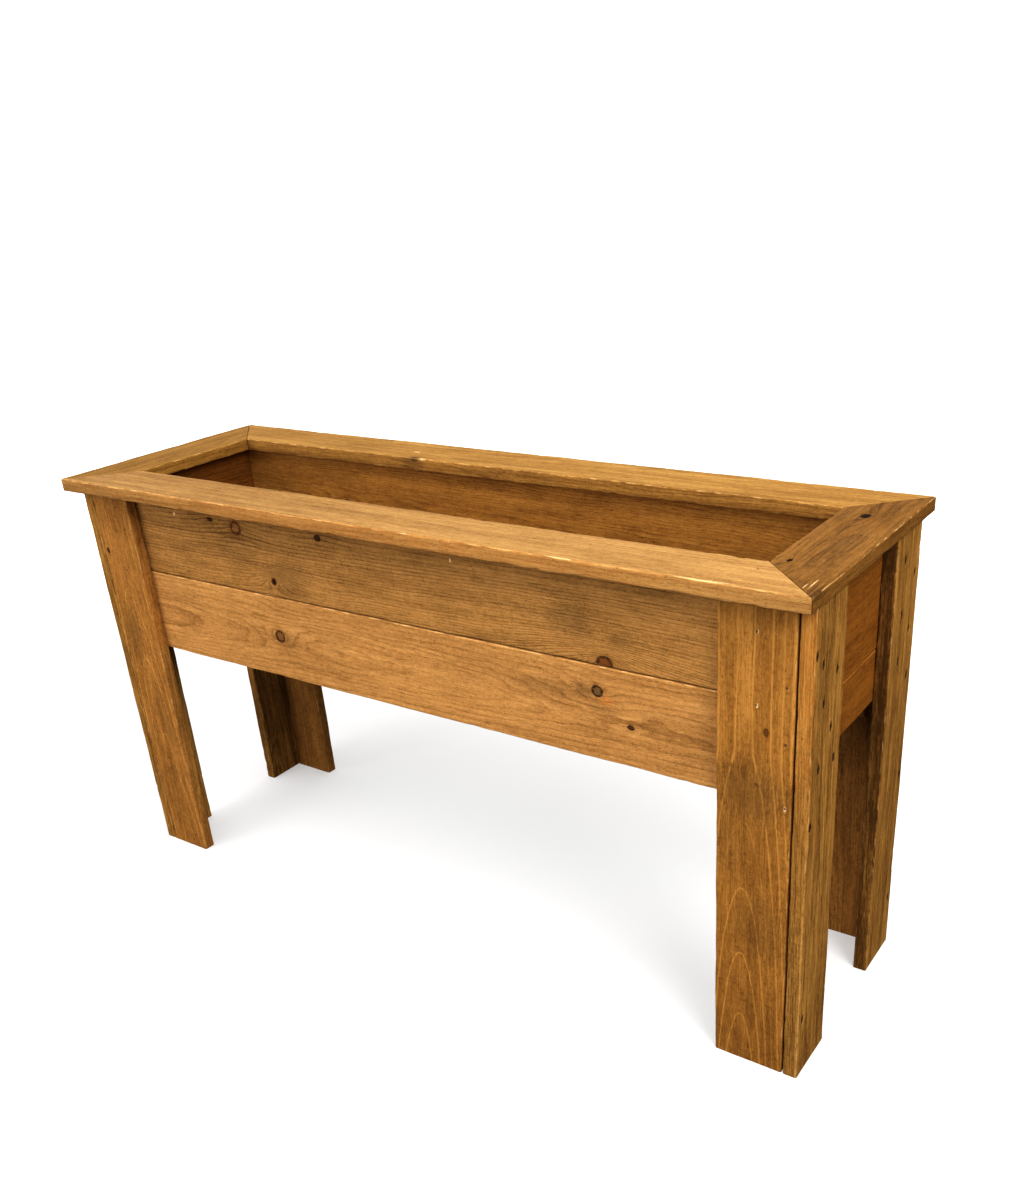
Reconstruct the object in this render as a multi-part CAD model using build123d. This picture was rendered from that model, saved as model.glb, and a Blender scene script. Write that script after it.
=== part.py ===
from build123d import *
import os

# Raised planter on legs, nailed together from sawn softwood boards.
# +X runs along the trough, +Y to the back and +Z up. The origin is on the ground,
# below the centre of the trough. Every size is in millimetres.

# Driving dimensions
LENGTH = 1420.0             # rim, end to end
DEPTH = 452.0               # rim, front to back
HEIGHT = 766.0              # ground to the top of the rim
BOARD = 22.0                # thickness of rim, leg, side wall, floor and cleat timber
END_BOARD = 45.0            # thickness of the heavier end wall timber
NARROW = 100.0              # width of rim boards, leg boards and floor slats
SIDE_BOARD = 150.0          # width of the two boards in each side wall
END_UPPER = 170.0           # width of the upper end wall board
EASE = 1.5                  # radius worn onto the long edges of a board
SEAM = 1.5                  # open joint between an upper and a lower wall board
MITRE_GAP = 0.8             # open joint across a rim mitre
END_OVERHANG = 6.0          # rim past the legs at each end
SIDE_OVERHANG = 34.0        # rim past the legs at front and back
FACE_BOARD = 96.0           # width of a leg's face board
WIDE_FACE_BOARD = 109.0     # the front right leg has a wider face board
WIDE_FACE_GAP = 2.5         # and it stands off its end board by this much
CLEAT_HEIGHT = 25.0         # cleats that carry the floor
SLAT_COUNT = 12
FLOOR_INSET = 22.0          # floor ends short of the end walls' outer faces
SLAT_CLEARANCE = 1.0        # slat end to side wall

NAIL_SHANK = 1.25           # radius
NAIL_HEAD = 2.6             # radius
NAIL_HEAD_DEPTH = 1.4
NAIL_POINT = 3.0
RIM_NAIL = 60.0             # nail lengths
LEG_NAIL = 40.0
END_NAIL = 50.0
FLOOR_NAIL = 40.0
CLEAT_NAIL = 36.0

# Nails through the legs, as (distance from the leg's outer corner, height)
FACE_NAILS = ((54, 697), (53, 596), (51, 480), (12, 628), (11, 548), (9, 454))
END_NAILS = {
    "front": ((6, 676), (27, 657), (75, 632), (34, 600), (63, 555), (79, 502), (27, 508), (8, 431), (13, 104)),
    "back": ((65, 700), (18, 668), (62, 617), (26, 584), (63, 544), (18, 505), (10, 330), (12, 95)),
}
WALL_NAIL_HEIGHTS = (720, 645, 564, 520)

# Levels
rim_under = HEIGHT - BOARD
side_seam = rim_under - SIDE_BOARD
side_bottom = side_seam - SEAM - SIDE_BOARD
slat_under = side_bottom + CLEAT_HEIGHT
floor_top = slat_under + BOARD
end_seam = rim_under - END_UPPER

# Planes along X, outwards
leg_outer_x = LENGTH / 2 - END_OVERHANG
wall_outer_x = leg_outer_x - BOARD
wall_inner_x = wall_outer_x - END_BOARD
floor_end_x = wall_outer_x - FLOOR_INSET

# Planes along Y, outwards
leg_outer_y = DEPTH / 2 - SIDE_OVERHANG
wall_outer_y = leg_outer_y - BOARD
wall_inner_y = wall_outer_y - BOARD
wall_middle_y = (wall_outer_y + wall_inner_y) / 2

SIDES = {"front": -1, "back": 1}
ENDS = {"left": -1, "right": 1}


def board(x_range, y_range, z_range, grain):
    """A straight board between three pairs of limits, eased along its grain."""
    spans = [sorted(limits) for limits in (x_range, y_range, z_range)]
    size = [high - low for low, high in spans]
    centre = [(high + low) / 2 for low, high in spans]
    blank = Pos(*centre) * Box(*size)
    return fillet(blank.edges().filter_by(grain), EASE)


def rim_board(long_half, cross_half):
    """A mitred board lying on the low-Y side of a frame, with its grain along X."""
    tip = long_half - MITRE_GAP / 2
    heel = tip - NARROW
    outline = Polyline(
        (-tip, -cross_half),
        (tip, -cross_half),
        (heel, -cross_half + NARROW),
        (-heel, -cross_half + NARROW),
        close=True,
    )
    blank = extrude(make_face(outline), BOARD)
    eased = fillet(blank.edges().filter_by(Axis.X), EASE)
    return Pos(0, 0, rim_under) * eased


def nail(length):
    """A nail that points down, with the top of its head at the origin."""
    profile = Polyline(
        (0, 0),
        (NAIL_HEAD, 0),
        (NAIL_SHANK, -NAIL_HEAD_DEPTH),
        (NAIL_SHANK, NAIL_POINT - length),
        (0, -length),
        close=True,
    )
    return revolve(make_face(Plane.XZ * profile), Axis.Z)


def nails_down(points, length):
    return [Pos(*point) * nail(length) for point in points]


def nails_along_y(points, length, direction):
    return [Pos(*point) * Rot(90 * direction, 0, 0) * nail(length) for point in points]


def nails_along_x(points, length, direction):
    return [Pos(*point) * Rot(0, -90 * direction, 0) * nail(length) for point in points]


def make_rim():
    """Four mitred boards; each is drawn at low Y and turned to its own side."""
    long_rim = rim_board(LENGTH / 2, DEPTH / 2)
    short_rim = rim_board(DEPTH / 2, LENGTH / 2)
    return {
        "rim_front": long_rim,
        "rim_back": Rot(0, 0, 180) * long_rim,
        "rim_left": Rot(0, 0, -90) * short_rim,
        "rim_right": Rot(0, 0, 90) * short_rim,
    }


def make_walls():
    """Side walls run the full length; the end walls fit between them."""
    boards = {}
    for name, side in SIDES.items():
        depth = (side * wall_inner_y, side * wall_outer_y)
        length = (-wall_outer_x, wall_outer_x)
        boards[name + "_wall_upper"] = board(length, depth, (side_seam, rim_under), Axis.X)
        boards[name + "_wall_lower"] = board(length, depth, (side_bottom, side_seam - SEAM), Axis.X)
    for name, end in ENDS.items():
        depth = (end * wall_inner_x, end * wall_outer_x)
        length = (-wall_inner_y, wall_inner_y)
        boards[name + "_wall_upper"] = board(depth, length, (end_seam, rim_under), Axis.Y)
        boards[name + "_wall_lower"] = board(depth, length, (floor_top, end_seam - SEAM), Axis.Y)
    return boards


def leg_face_span(side_name, end_name):
    """Inner and outer distance of a leg's face board from the middle of the trough."""
    if (side_name, end_name) == ("front", "right"):
        outer = wall_outer_x - WIDE_FACE_GAP
        return outer - WIDE_FACE_BOARD, outer
    return wall_outer_x - FACE_BOARD, wall_outer_x


def make_legs():
    """Each leg is a face board and an end board that covers the face board's edge."""
    boards = {}
    height = (0, rim_under)
    for side_name, side in SIDES.items():
        for end_name, end in ENDS.items():
            leg = "leg_" + side_name + "_" + end_name
            inner, outer = leg_face_span(side_name, end_name)
            face_depth = (side * wall_outer_y, side * leg_outer_y)
            boards[leg + "_face"] = board((end * inner, end * outer), face_depth, height, Axis.Z)
            end_depth = (end * wall_outer_x, end * leg_outer_x)
            end_span = (side * (leg_outer_y - NARROW), side * leg_outer_y)
            boards[leg + "_end"] = board(end_depth, end_span, height, Axis.Z)
    return boards


def slat_centres():
    reach = floor_end_x - NARROW / 2
    pitch = 2 * reach / (SLAT_COUNT - 1)
    return [-reach + index * pitch for index in range(SLAT_COUNT)]


def make_floor():
    """Spaced slats across the trough, carried by a cleat along each side wall."""
    boards = {}
    slat_reach = wall_inner_y - SLAT_CLEARANCE
    for name, side in SIDES.items():
        depth = (side * (wall_inner_y - BOARD), side * wall_inner_y)
        level = (side_bottom, slat_under)
        boards["floor_cleat_" + name] = board((-floor_end_x, floor_end_x), depth, level, Axis.X)
    for number, middle in enumerate(slat_centres(), start=1):
        width = (middle - NARROW / 2, middle + NARROW / 2)
        slat = board(width, (-slat_reach, slat_reach), (slat_under, floor_top), Axis.Y)
        boards[f"floor_slat_{number:02d}"] = slat
    return boards


def make_nails():
    """Nails by what they fasten; every head is flush with the outermost timber."""
    groups = {"nails_rim": [], "nails_leg_face": [], "nails_leg_end": [],
              "nails_wall": [], "nails_floor": [], "nails_cleat": []}
    end_wall_x = (wall_inner_x + wall_outer_x) / 2
    for side_name, side in SIDES.items():
        along_rim = [(x, side * wall_middle_y, HEIGHT) for x in (-610, -366, -122, 122, 366, 610)]
        across_rim = [(end * end_wall_x, side * 105, HEIGHT) for end in ENDS.values()]
        groups["nails_rim"] += nails_down(along_rim + across_rim, RIM_NAIL)

        for end_name, end in ENDS.items():
            face_edge = leg_face_span(side_name, end_name)[1]
            points = [(end * (face_edge - inset), side * leg_outer_y, z) for inset, z in FACE_NAILS]
            groups["nails_leg_face"] += nails_along_y(points, LEG_NAIL, -side)

            points = [(end * leg_outer_x, side * (leg_outer_y - inset), z)
                      for inset, z in END_NAILS[side_name]]
            groups["nails_leg_end"] += nails_along_x(points, END_NAIL, -end)

            points = [(end * (end_wall_x + 12), side * wall_outer_y, z) for z in WALL_NAIL_HEIGHTS]
            groups["nails_wall"] += nails_along_y(points, END_NAIL, -side)

        points = [(middle + offset, side * (wall_inner_y - BOARD / 2), floor_top)
                  for middle in slat_centres() for offset in (-30, 30)]
        groups["nails_floor"] += nails_down(points, FLOOR_NAIL)

        points = [(x, side * (wall_inner_y - BOARD), side_bottom + CLEAT_HEIGHT / 2)
                  for x in (-555, -333, -111, 111, 333, 555)]
        groups["nails_cleat"] += nails_along_y(points, CLEAT_NAIL, side)
    return groups


def drill(timber, nails):
    """Cut from one board the holes of the nails that reach it."""
    box = timber.bounding_box()
    near = [pin for pin in nails if boxes_meet(box, pin.bounding_box())]
    return timber - near if near else timber


def boxes_meet(first, second):
    low_gap = [first.min.X - second.max.X, first.min.Y - second.max.Y, first.min.Z - second.max.Z]
    high_gap = [second.min.X - first.max.X, second.min.Y - first.max.Y, second.min.Z - first.max.Z]
    return max(low_gap + high_gap) < 0


def main():
    boards = {**make_rim(), **make_walls(), **make_legs(), **make_floor()}
    nail_groups = make_nails()
    every_nail = [pin for group in nail_groups.values() for pin in group]
    os.makedirs("parts", exist_ok=True)
    for name, timber in boards.items():
        export_step(drill(timber, every_nail), f"parts/{name}.step")
    for name, group in nail_groups.items():
        export_step(Compound(children=group), f"parts/{name}.step")


main()
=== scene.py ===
"""Raised planter on legs: sawn, stained boards and their nails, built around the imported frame.

Everything is in metres in the model's own frame: +X runs along the trough, +Y to the back and
+Z up, with the ground at zero. Each board also has coordinates of its own, in millimetres: u runs
along the grain, v across the width and w through the thickness, up to the face with the nails.
"""

import math

import bmesh
import bpy
import numpy as np
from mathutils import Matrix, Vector


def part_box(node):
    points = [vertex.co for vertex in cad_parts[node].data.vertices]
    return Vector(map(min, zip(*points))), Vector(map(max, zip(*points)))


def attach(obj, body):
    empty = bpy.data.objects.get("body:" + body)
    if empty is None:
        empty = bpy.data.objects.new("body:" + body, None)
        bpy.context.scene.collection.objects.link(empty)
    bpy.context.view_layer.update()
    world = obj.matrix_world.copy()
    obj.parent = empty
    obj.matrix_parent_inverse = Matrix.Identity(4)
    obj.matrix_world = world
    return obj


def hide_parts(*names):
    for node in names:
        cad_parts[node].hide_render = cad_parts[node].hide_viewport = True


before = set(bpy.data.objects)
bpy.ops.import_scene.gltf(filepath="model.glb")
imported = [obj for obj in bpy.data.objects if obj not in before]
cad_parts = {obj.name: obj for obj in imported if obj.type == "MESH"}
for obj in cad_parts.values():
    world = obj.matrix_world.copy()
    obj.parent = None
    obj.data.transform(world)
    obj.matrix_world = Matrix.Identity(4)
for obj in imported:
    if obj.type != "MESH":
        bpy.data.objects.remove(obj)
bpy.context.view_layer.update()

MM = 0.001

# Shapes of the boards, in millimetres where nothing else is said
MITRE_GAP = 0.6             # how far a mitred end stops short, along the grain
MITRE_ZONE = 2.2            # the grid slants this many board widths from a mitred end
CORNER = 6.0                # strip beside each long edge that its rounding may use
END_EASE = 1.0              # rounding of the end edges
EASE_SHARES = (0.0, 0.25, 0.6, 1.0)     # grid stations within that rounding
ROUND_POINTS = 5            # points around each long edge
SIDE_STEP = 5.0             # grid step on the narrow faces
HOLLOWS = ((0.18, 260, 60), (0.05, 34, 16))     # mean depth, length along and across the grain
BOW = (0.22, 300)           # how far a narrow face wanders, and how often
EDGE_WEAR = (0.35, 170)     # how far a rounding varies, as a share of its radius, and how often
EDGE_RAG = (0.16, 11)       # and how ragged it is
LEAST_RADIUS = 0.7
NICK_MARGIN = 10.0          # no chance nick is nearer to a board's end
NICK_LENGTH = (1.5, 9.0)
NICK_DEPTH = (0.5, 2.6)
GROOVE = 0.16               # half the width of the groove around a knot, in the knot's radii
CRACK_DEPTH = 1.6
CRACK_HALF = 0.45           # half the width of a drying crack
CRACK_DRIFT = 0.012         # how far it drifts across the grain
CRACK_GRID = 0.6            # spread of the grid lines around it
FLUSH = 0.5                 # a nail head this near a face lies in it

CLOSEST = 0.3               # closest two grid lines may stand
AROUND = (-1.6, -1.1, -0.85, -0.45, 0.0, 0.45, 0.85, 1.1, 1.6)      # more lines around a detail

AXES = {
    "+X": Vector((1, 0, 0)), "-X": Vector((-1, 0, 0)),
    "+Y": Vector((0, 1, 0)), "-Y": Vector((0, -1, 0)),
    "+Z": Vector((0, 0, 1)), "-Z": Vector((0, 0, -1)),
}


# -------------------- small helpers

def linear(red, green, blue):
    """A colour given as it looks on a screen, 0 to 255, as scene light values."""
    parts = [value / 255 for value in (red, green, blue)]
    return tuple(p / 12.92 if p <= 0.04045 else ((p + 0.055) / 1.055) ** 2.4 for p in parts) + (1.0,)


def wander(rng, x, length):
    """A smooth random line between about -1 and 1 that turns about once in every length."""
    total = 0.0
    for share in (1.0, 0.6, 0.35, 0.2):
        wave = length * share * rng.uniform(0.8, 1.25)
        total = total + share * np.sin(math.tau * x / wave + rng.uniform(0, math.tau))
    return total / 1.5


def rolling(rng, x, y, length_x, length_y):
    """A smooth random surface between about -1 and 1."""
    total = 0.0
    for _ in range(6):
        turn_x = rng.uniform(0.4, 1.3) / length_x
        turn_y = rng.uniform(-1.2, 1.2) / length_y
        total = total + np.sin(math.tau * (x * turn_x + y * turn_y) + rng.uniform(0, math.tau))
    return total / 3.0


def smooth(low, high, x):
    """Rises from 0 at low to 1 at high, or falls where low is the greater."""
    t = np.clip((x - low) / (high - low), 0.0, 1.0)
    return t * t * (3.0 - 2.0 * t)


# -------------------- nails, as the frame has them

def loose_solids(node):
    """The corner points of each separate solid in a CAD node."""
    mesh = bmesh.new()
    mesh.from_mesh(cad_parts[node].data)
    bmesh.ops.remove_doubles(mesh, verts=mesh.verts, dist=0.01 * MM)
    unseen = set(mesh.verts)
    solids = []
    for start in list(mesh.verts):
        if start not in unseen:
            continue
        unseen.discard(start)
        group = [start]
        for vert in group:
            for edge in vert.link_edges:
                other = edge.other_vert(vert)
                if other in unseen:
                    unseen.discard(other)
                    group.append(other)
        solids.append(np.array([vert.co[:] for vert in group]))
    mesh.free()
    return solids


def nail_of(points):
    """The middle of a nail's head and the direction that the nail points in."""
    low, high = points.min(axis=0), points.max(axis=0)
    axis = int(np.argmax(high - low))
    middle = (low + high) / 2
    at_low = points[points[:, axis] < low[axis] + 0.1 * MM]
    at_high = points[points[:, axis] > high[axis] - 0.1 * MM]
    head_is_high = np.ptp(at_high, axis=0).max() > np.ptp(at_low, axis=0).max()
    middle[axis] = high[axis] if head_is_high else low[axis]
    direction = Vector((0, 0, 0))
    direction[axis] = -1 if head_is_high else 1
    return Vector(middle), direction


NAIL_NODES = sorted(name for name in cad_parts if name.startswith("nails_"))
nails = {node: [nail_of(solid) for solid in loose_solids(node)] for node in NAIL_NODES}


# -------------------- boards

class Board:
    """A board in its node's box, with its own u, v and w directions."""

    def __init__(self, node, grain, width, face, mitred=False):
        self.axes = [AXES[grain], AXES[width], AXES[face]]
        self.mitred = mitred
        low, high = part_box(node)
        if mitred:
            low, high = widen_mitre(low, high, self.axes[0])
        self.origin = Vector([low[i] if sum(a[i] for a in self.axes) > 0 else high[i] for i in range(3)])
        size = high - low
        self.length, self.width, self.thick = [abs(axis.dot(size)) / MM for axis in self.axes]
        self.zone = min(MITRE_ZONE * self.width, self.length / 2) if mitred else self.length / 2
        self.holes = self.find_holes()

    def own(self, point):
        """A point of the scene in this board's own millimetres."""
        away = point - self.origin
        return [axis.dot(away) / MM for axis in self.axes]

    def find_holes(self):
        """Where nail heads lie in this board's nailed face."""
        found = []
        for heads in nails.values():
            for head, _ in heads:
                u, v, w = self.own(head)
                if 0 < u < self.length and 0 < v < self.width and abs(w - self.thick) < FLUSH:
                    found.append((u, v))
        return found

    def reach(self, v):
        """Where the ends are at a distance across the board: start and end along the grain."""
        if not self.mitred:
            return 0.0 * v, self.length + 0.0 * v
        return v + MITRE_GAP, self.length - v - MITRE_GAP

    def place(self, q, v):
        """Slides even stations q along the grain so that the first and last meet the ends."""
        start, end = self.reach(v)
        near = start + q * (self.zone - start) / self.zone
        far = end - (self.length - q) * (end - self.length + self.zone) / self.zone
        middle = np.clip(q, self.zone, self.length - self.zone)
        return np.where(q < self.zone, near, np.where(q > self.length - self.zone, far, middle))

    def station(self, u, v):
        """The even station that place() slides to u."""
        start, end = self.reach(v)
        if u < self.zone:
            return (u - start) * self.zone / (self.zone - start)
        if u > self.length - self.zone:
            return self.length - (end - u) * self.zone / (end - self.length + self.zone)
        return u


def widen_mitre(low, high, grain):
    """A mitred node's box, stretched by the open joint to the full size of the rim."""
    low, high = low.copy(), high.copy()
    for i in range(3):
        if abs(grain[i]) > 0.5:
            middle = (low[i] + high[i]) / 2
            half = round((high[i] - low[i]) / 2 / MM) * MM
            low[i], high[i] = middle - half, middle + half
    return low, high


def grid_lines(length, step, margin, spots=()):
    """Places from margin to length - margin, a step apart and closer around the spots."""
    count = max(2, round((length - 2 * margin) / step))
    places = list(np.linspace(margin, length - margin, count + 1))
    for place, reach in spots:
        places += [place + reach * share for share in AROUND]
    places = sorted(p for p in places if margin <= p <= length - margin)
    kept = [places[0]]
    for place in places[1:-1]:
        if place - kept[-1] > CLOSEST and places[-1] - place > CLOSEST:
            kept.append(place)
    return np.array(kept + [places[-1]])


def small_details(board, look):
    """What the grid draws closer around, along and across the board: places and half sizes."""
    hole_along, hole_across, _, _ = look["nail_hole"]
    spots_u = [(board.station(u, v), hole_along) for u, v in board.holes]
    spots_v = [(v, hole_across) for _, v in board.holes]
    for u, v, radius, stretch, kind in look["knots"]:
        if KNOTS[kind]["groove"] > 0:
            spots_u.append((board.station(u, v), radius * stretch))
            spots_v.append((v, radius))
    for _, v, _ in look["cracks"]:
        spots_v.append((v, CRACK_GRID))
    return spots_u, spots_v


def random_nicks(rng, length, spacing):
    """Nicks in one long edge, a spacing apart on average: place, length and depth."""
    low, high = NICK_MARGIN, length - NICK_MARGIN
    return [(rng.uniform(low, high), rng.uniform(*NICK_LENGTH), rng.uniform(*NICK_DEPTH))
            for _ in range(int(length / spacing))]


def arris_radius(rng, q, size, nicks):
    """The rounding of one long edge at each station."""
    wear, wear_length = EDGE_WEAR
    rag, rag_length = EDGE_RAG
    radius = size * (1.0 + wear * wander(rng, q, wear_length)) + rag * wander(rng, q, rag_length)
    for place, length, depth in nicks:
        ragged = 1.0 + 0.35 * np.sin(math.tau * (q - place) / (0.6 * length))
        radius = radius + depth * ragged * np.exp(-((q - place) / length) ** 2)
    return np.clip(radius, LEAST_RADIUS, 0.92 * CORNER)


def face_depth(board, look, rng, nailed):
    """How far one broad face lies below the sawn plane: hollows, knots, cracks and nail holes."""
    state = rng.bit_generator.random_raw()
    hole_along, hole_across, hole_deep, _ = look["nail_hole"]

    def depth(u, v):
        fixed = np.random.default_rng(state)
        total = 0.0
        for deep, along, across in HOLLOWS:
            total = total + deep * (1 + rolling(fixed, u, v, along, across))
        for knot_u, knot_v, radius, stretch, kind in look["knots"]:
            away = np.hypot((u - knot_u) / stretch, v - knot_v) / radius
            groove = KNOTS[kind]["groove"]
            total = total + groove * np.exp(-((away - 1.0) / GROOVE) ** 2)
            total = total + 0.5 * groove * smooth(1.0, 0.2, away)
        for crack_u, crack_v, half in look["cracks"]:
            along = np.exp(-((u - crack_u) / half) ** 4)
            drift = crack_v + CRACK_DRIFT * (u - crack_u)
            total = total + CRACK_DEPTH * along * np.exp(-((v - drift) / CRACK_HALF) ** 2)
        if nailed:
            for hole_u, hole_v in board.holes:
                away = np.hypot((u - hole_u) / hole_along, (v - hole_v) / hole_across)
                total = total + hole_deep * smooth(1.15, 0.8, away)
        return total

    return depth


def board_mesh(board, look, rng):
    """One closed board with worn edges, and grid lines drawn closer around what is small."""
    length, width, thick = board.length, board.width, board.thick
    step = look["step"]
    spots_u, spots_v = small_details(board, look)
    nicks = [random_nicks(rng, length, look["nick_every"]) for _ in range(4)]
    body = grid_lines(length, 1.5 * step, 2 * END_EASE, spots_u)
    ease = np.array(EASE_SHARES) * END_EASE
    q = np.concatenate([ease, body, (length - ease)[::-1]])
    from_end = np.minimum(np.minimum(q, length - q) / END_EASE, 1.0)
    inset = END_EASE * (1.0 - np.sqrt(1.0 - (1.0 - from_end) ** 2))

    radius = [arris_radius(rng, q, look["arris"], nicks[edge]) for edge in range(4)]
    top = face_depth(board, look, rng, True)
    bottom = face_depth(board, look, rng, False)
    bow, bow_length = BOW
    low_edge = bow * (1 + wander(rng, q, bow_length)) + inset
    high_edge = bow * (1 + wander(rng, q, bow_length)) + inset

    columns = []

    def add(v, w):
        """One line of points along the board, from its place on the perfect section."""
        v, w = v + 0.0 * q, w + 0.0 * q
        u = board.place(q, v)
        on_top = smooth(0.5 * thick, thick - CORNER, w)
        on_bottom = smooth(0.5 * thick, CORNER, w)
        near_low = smooth(2 * CORNER, CORNER, v)
        near_high = smooth(width - 2 * CORNER, width - CORNER, v)
        w = w - on_top * (top(u, v) + inset) + on_bottom * (bottom(u, v) + inset)
        v = v + near_low * low_edge - near_high * high_edge
        columns.append((board.place(q, v), v, w))

    def corner(edge, at_v, at_w, start):
        """The rounding of one long edge, a quarter turn from the start angle."""
        r = radius[edge]
        middle_v = r if at_v == 0 else at_v - r
        middle_w = r if at_w == 0 else at_w - r
        for angle in np.radians(np.linspace(start, start - 90, ROUND_POINTS)):
            add(middle_v + r * math.cos(angle), middle_w + r * math.sin(angle))

    sides = grid_lines(thick, SIDE_STEP, CORNER)
    for w in sides:
        add(0.0, w)
    corner(0, 0, thick, 180)
    for v in grid_lines(width, step, CORNER, spots_v):
        add(v, thick)
    corner(1, width, thick, 90)
    for w in sides[::-1]:
        add(width, w)
    corner(2, width, 0, 0)
    for v in grid_lines(width, 1.4 * step, CORNER)[::-1]:
        add(v, 0.0)
    corner(3, 0, 0, -90)
    return closed_tube(board, columns)


def closed_tube(board, columns):
    """Points and faces of a board from its lines of points along the grain, in scene metres."""
    own = np.array(columns).transpose(2, 0, 1)
    stations, around, _ = own.shape
    basis = np.array([axis[:] for axis in board.axes])
    points = own.reshape(-1, 3) @ basis * MM + np.array(board.origin[:])
    index = np.arange(stations * around).reshape(stations, around)
    following = np.roll(index, -1, axis=1)
    quads = np.stack([index[:-1], following[:-1], following[1:], index[1:]], axis=-1).reshape(-1, 4)
    faces = quads.tolist() + [index[0][::-1].tolist(), index[-1].tolist()]
    if np.dot(np.cross(basis[0], basis[1]), basis[2]) > 0:
        faces = [face[::-1] for face in faces]
    return points, faces


def add_piece(name, points, faces, material, node):
    """Puts a mesh in the scene on the body, standing for its CAD node."""
    mesh = bpy.data.meshes.new(name)
    mesh.from_pydata([tuple(p) for p in points], [], faces)
    mesh.validate()
    mesh.shade_smooth()
    mesh.materials.append(material)
    piece = bpy.data.objects.new(name, mesh)
    bpy.context.scene.collection.objects.link(piece)
    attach(piece, "root")
    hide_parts(node)


# -------------------- shader graphs

class Graph:
    """Short calls that add shader nodes and join them. A value is a number or a socket."""

    def __init__(self, name):
        self.material = bpy.data.materials.new(name)
        self.material.use_nodes = True
        self.tree = self.material.node_tree
        self.shader = self.tree.nodes["Principled BSDF"]

    @classmethod
    def of_tree(cls, tree):
        """The same calls for a node tree that isn't a material's."""
        graph = cls.__new__(cls)
        graph.tree = tree
        return graph

    def feed(self, socket, value):
        """Joins a socket to the value, or sets it."""
        if isinstance(value, bpy.types.NodeSocket):
            self.tree.links.new(value, socket)
        else:
            socket.default_value = value

    def node(self, kind, inputs, out=0, **settings):
        """Adds a shader node with its settings and inputs, and gives one of its outputs."""
        made = self.tree.nodes.new(kind)
        for name, value in settings.items():
            setattr(made, name, value)
        for key, value in inputs.items():
            self.feed(made.inputs[key], value)
        return made.outputs[out]

    def math(self, operation, *values):
        return self.node("ShaderNodeMath", dict(enumerate(values)), operation=operation)

    def add(self, *values):
        total = values[0]
        for value in values[1:]:
            total = self.math("ADD", total, value)
        return total

    def times(self, *values):
        total = values[0]
        for value in values[1:]:
            total = self.math("MULTIPLY", total, value)
        return total

    def minus(self, a, b):
        return self.math("SUBTRACT", a, b)

    def over(self, a, b):
        return self.math("DIVIDE", a, b)

    def swing(self, value, share):
        """A value between 0 and 1, moved to lie about zero, times a share."""
        return self.times(self.minus(value, 0.5), share)

    def length(self, a, b):
        return self.math("SQRT", self.add(self.times(a, a), self.times(b, b)))

    def vector(self, x, y, z):
        return self.node("ShaderNodeCombineXYZ", {0: x, 1: y, 2: z})

    def noise(self, vector, detail=2.0, roughness=0.5, scale=1.0):
        inputs = {"Vector": vector, "Scale": scale, "Detail": detail, "Roughness": roughness}
        return self.node("ShaderNodeTexNoise", inputs)

    def rise(self, value, low, high, to_low=0.0, to_high=1.0):
        """Goes smoothly from to_low where value is low to to_high where it is high."""
        inputs = {0: value, 1: low, 2: high, 3: to_low, 4: to_high}
        return self.node("ShaderNodeMapRange", inputs, interpolation_type="SMOOTHSTEP")

    def curve(self, value, stops):
        """A grey ramp through (position, brightness) stops."""
        made = self.tree.nodes.new("ShaderNodeValToRGB")
        ramp = made.color_ramp
        for position, _ in stops[1:-1]:
            ramp.elements.new(position)
        for element, (position, level) in zip(ramp.elements, stops):
            element.position = position
            element.color = (level, level, level, 1.0)
        self.feed(made.inputs[0], value)
        return made.outputs[0]

    def mix(self, share, first, second, blend="MIX"):
        inputs = {0: share, 6: first, 7: second}
        return self.node("ShaderNodeMix", inputs, out=2, data_type="RGBA", blend_type=blend)


# -------------------- wood

# Knots: colours of the core and of the ring of bark, how far a knot pushes the growth rings out,
# the depth of the groove around it, and how much of the core's colour shows. Halo, core, bark and
# spread, which is how far a knot disturbs the rings, are in the knot's own radii.
KNOT_HALO = (2.6, 1.0, 0.0, 0.4)        # where a halo starts and is full, and how strong
KNOT_CORE = (1.1, 0.9)
KNOT_BARK = (0.34, 0.12)                # either side of the knot's radius
KNOT_SPREAD = 2.4
SMALLEST_SPREAD = 6.0       # a smaller knot disturbs them as one of this radius
KNOTS = {
    "tight": {"core": (142, 98, 52), "ring": (56, 32, 16), "flow": 20.0, "groove": 0.3, "core_share": 0.8},
    "grey": {"core": (132, 100, 62), "ring": (44, 26, 14), "flow": 18.0, "groove": 0.3, "core_share": 0.9},
    "red": {"core": (138, 84, 38), "ring": (70, 40, 18), "flow": 50.0, "groove": 0.2, "core_share": 0.9,
            "spread": 4.2},
    "dark": {"core": (58, 34, 18), "ring": (64, 36, 16), "flow": 5.0, "groove": 0.3, "core_share": 0.9},
    # A knot hole's near-black core is painted shade, standing in for the depth of the hole.
    "hole": {"core": (20, 10, 6), "ring": (52, 30, 14), "flow": 8.0, "groove": 1.2, "core_share": 1.0},
    "mark": {"core": (80, 50, 24), "ring": (96, 58, 26), "flow": 0.0, "groove": 0.1, "core_share": 0.7},
    "spike": {"core": (34, 18, 10), "ring": (84, 40, 18), "flow": 30.0, "groove": 0.4, "core_share": 1.0},
    "ghost": {"core": (150, 104, 54), "ring": (92, 42, 20), "flow": 9.0, "groove": 0.1, "core_share": 0.35},
}

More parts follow.
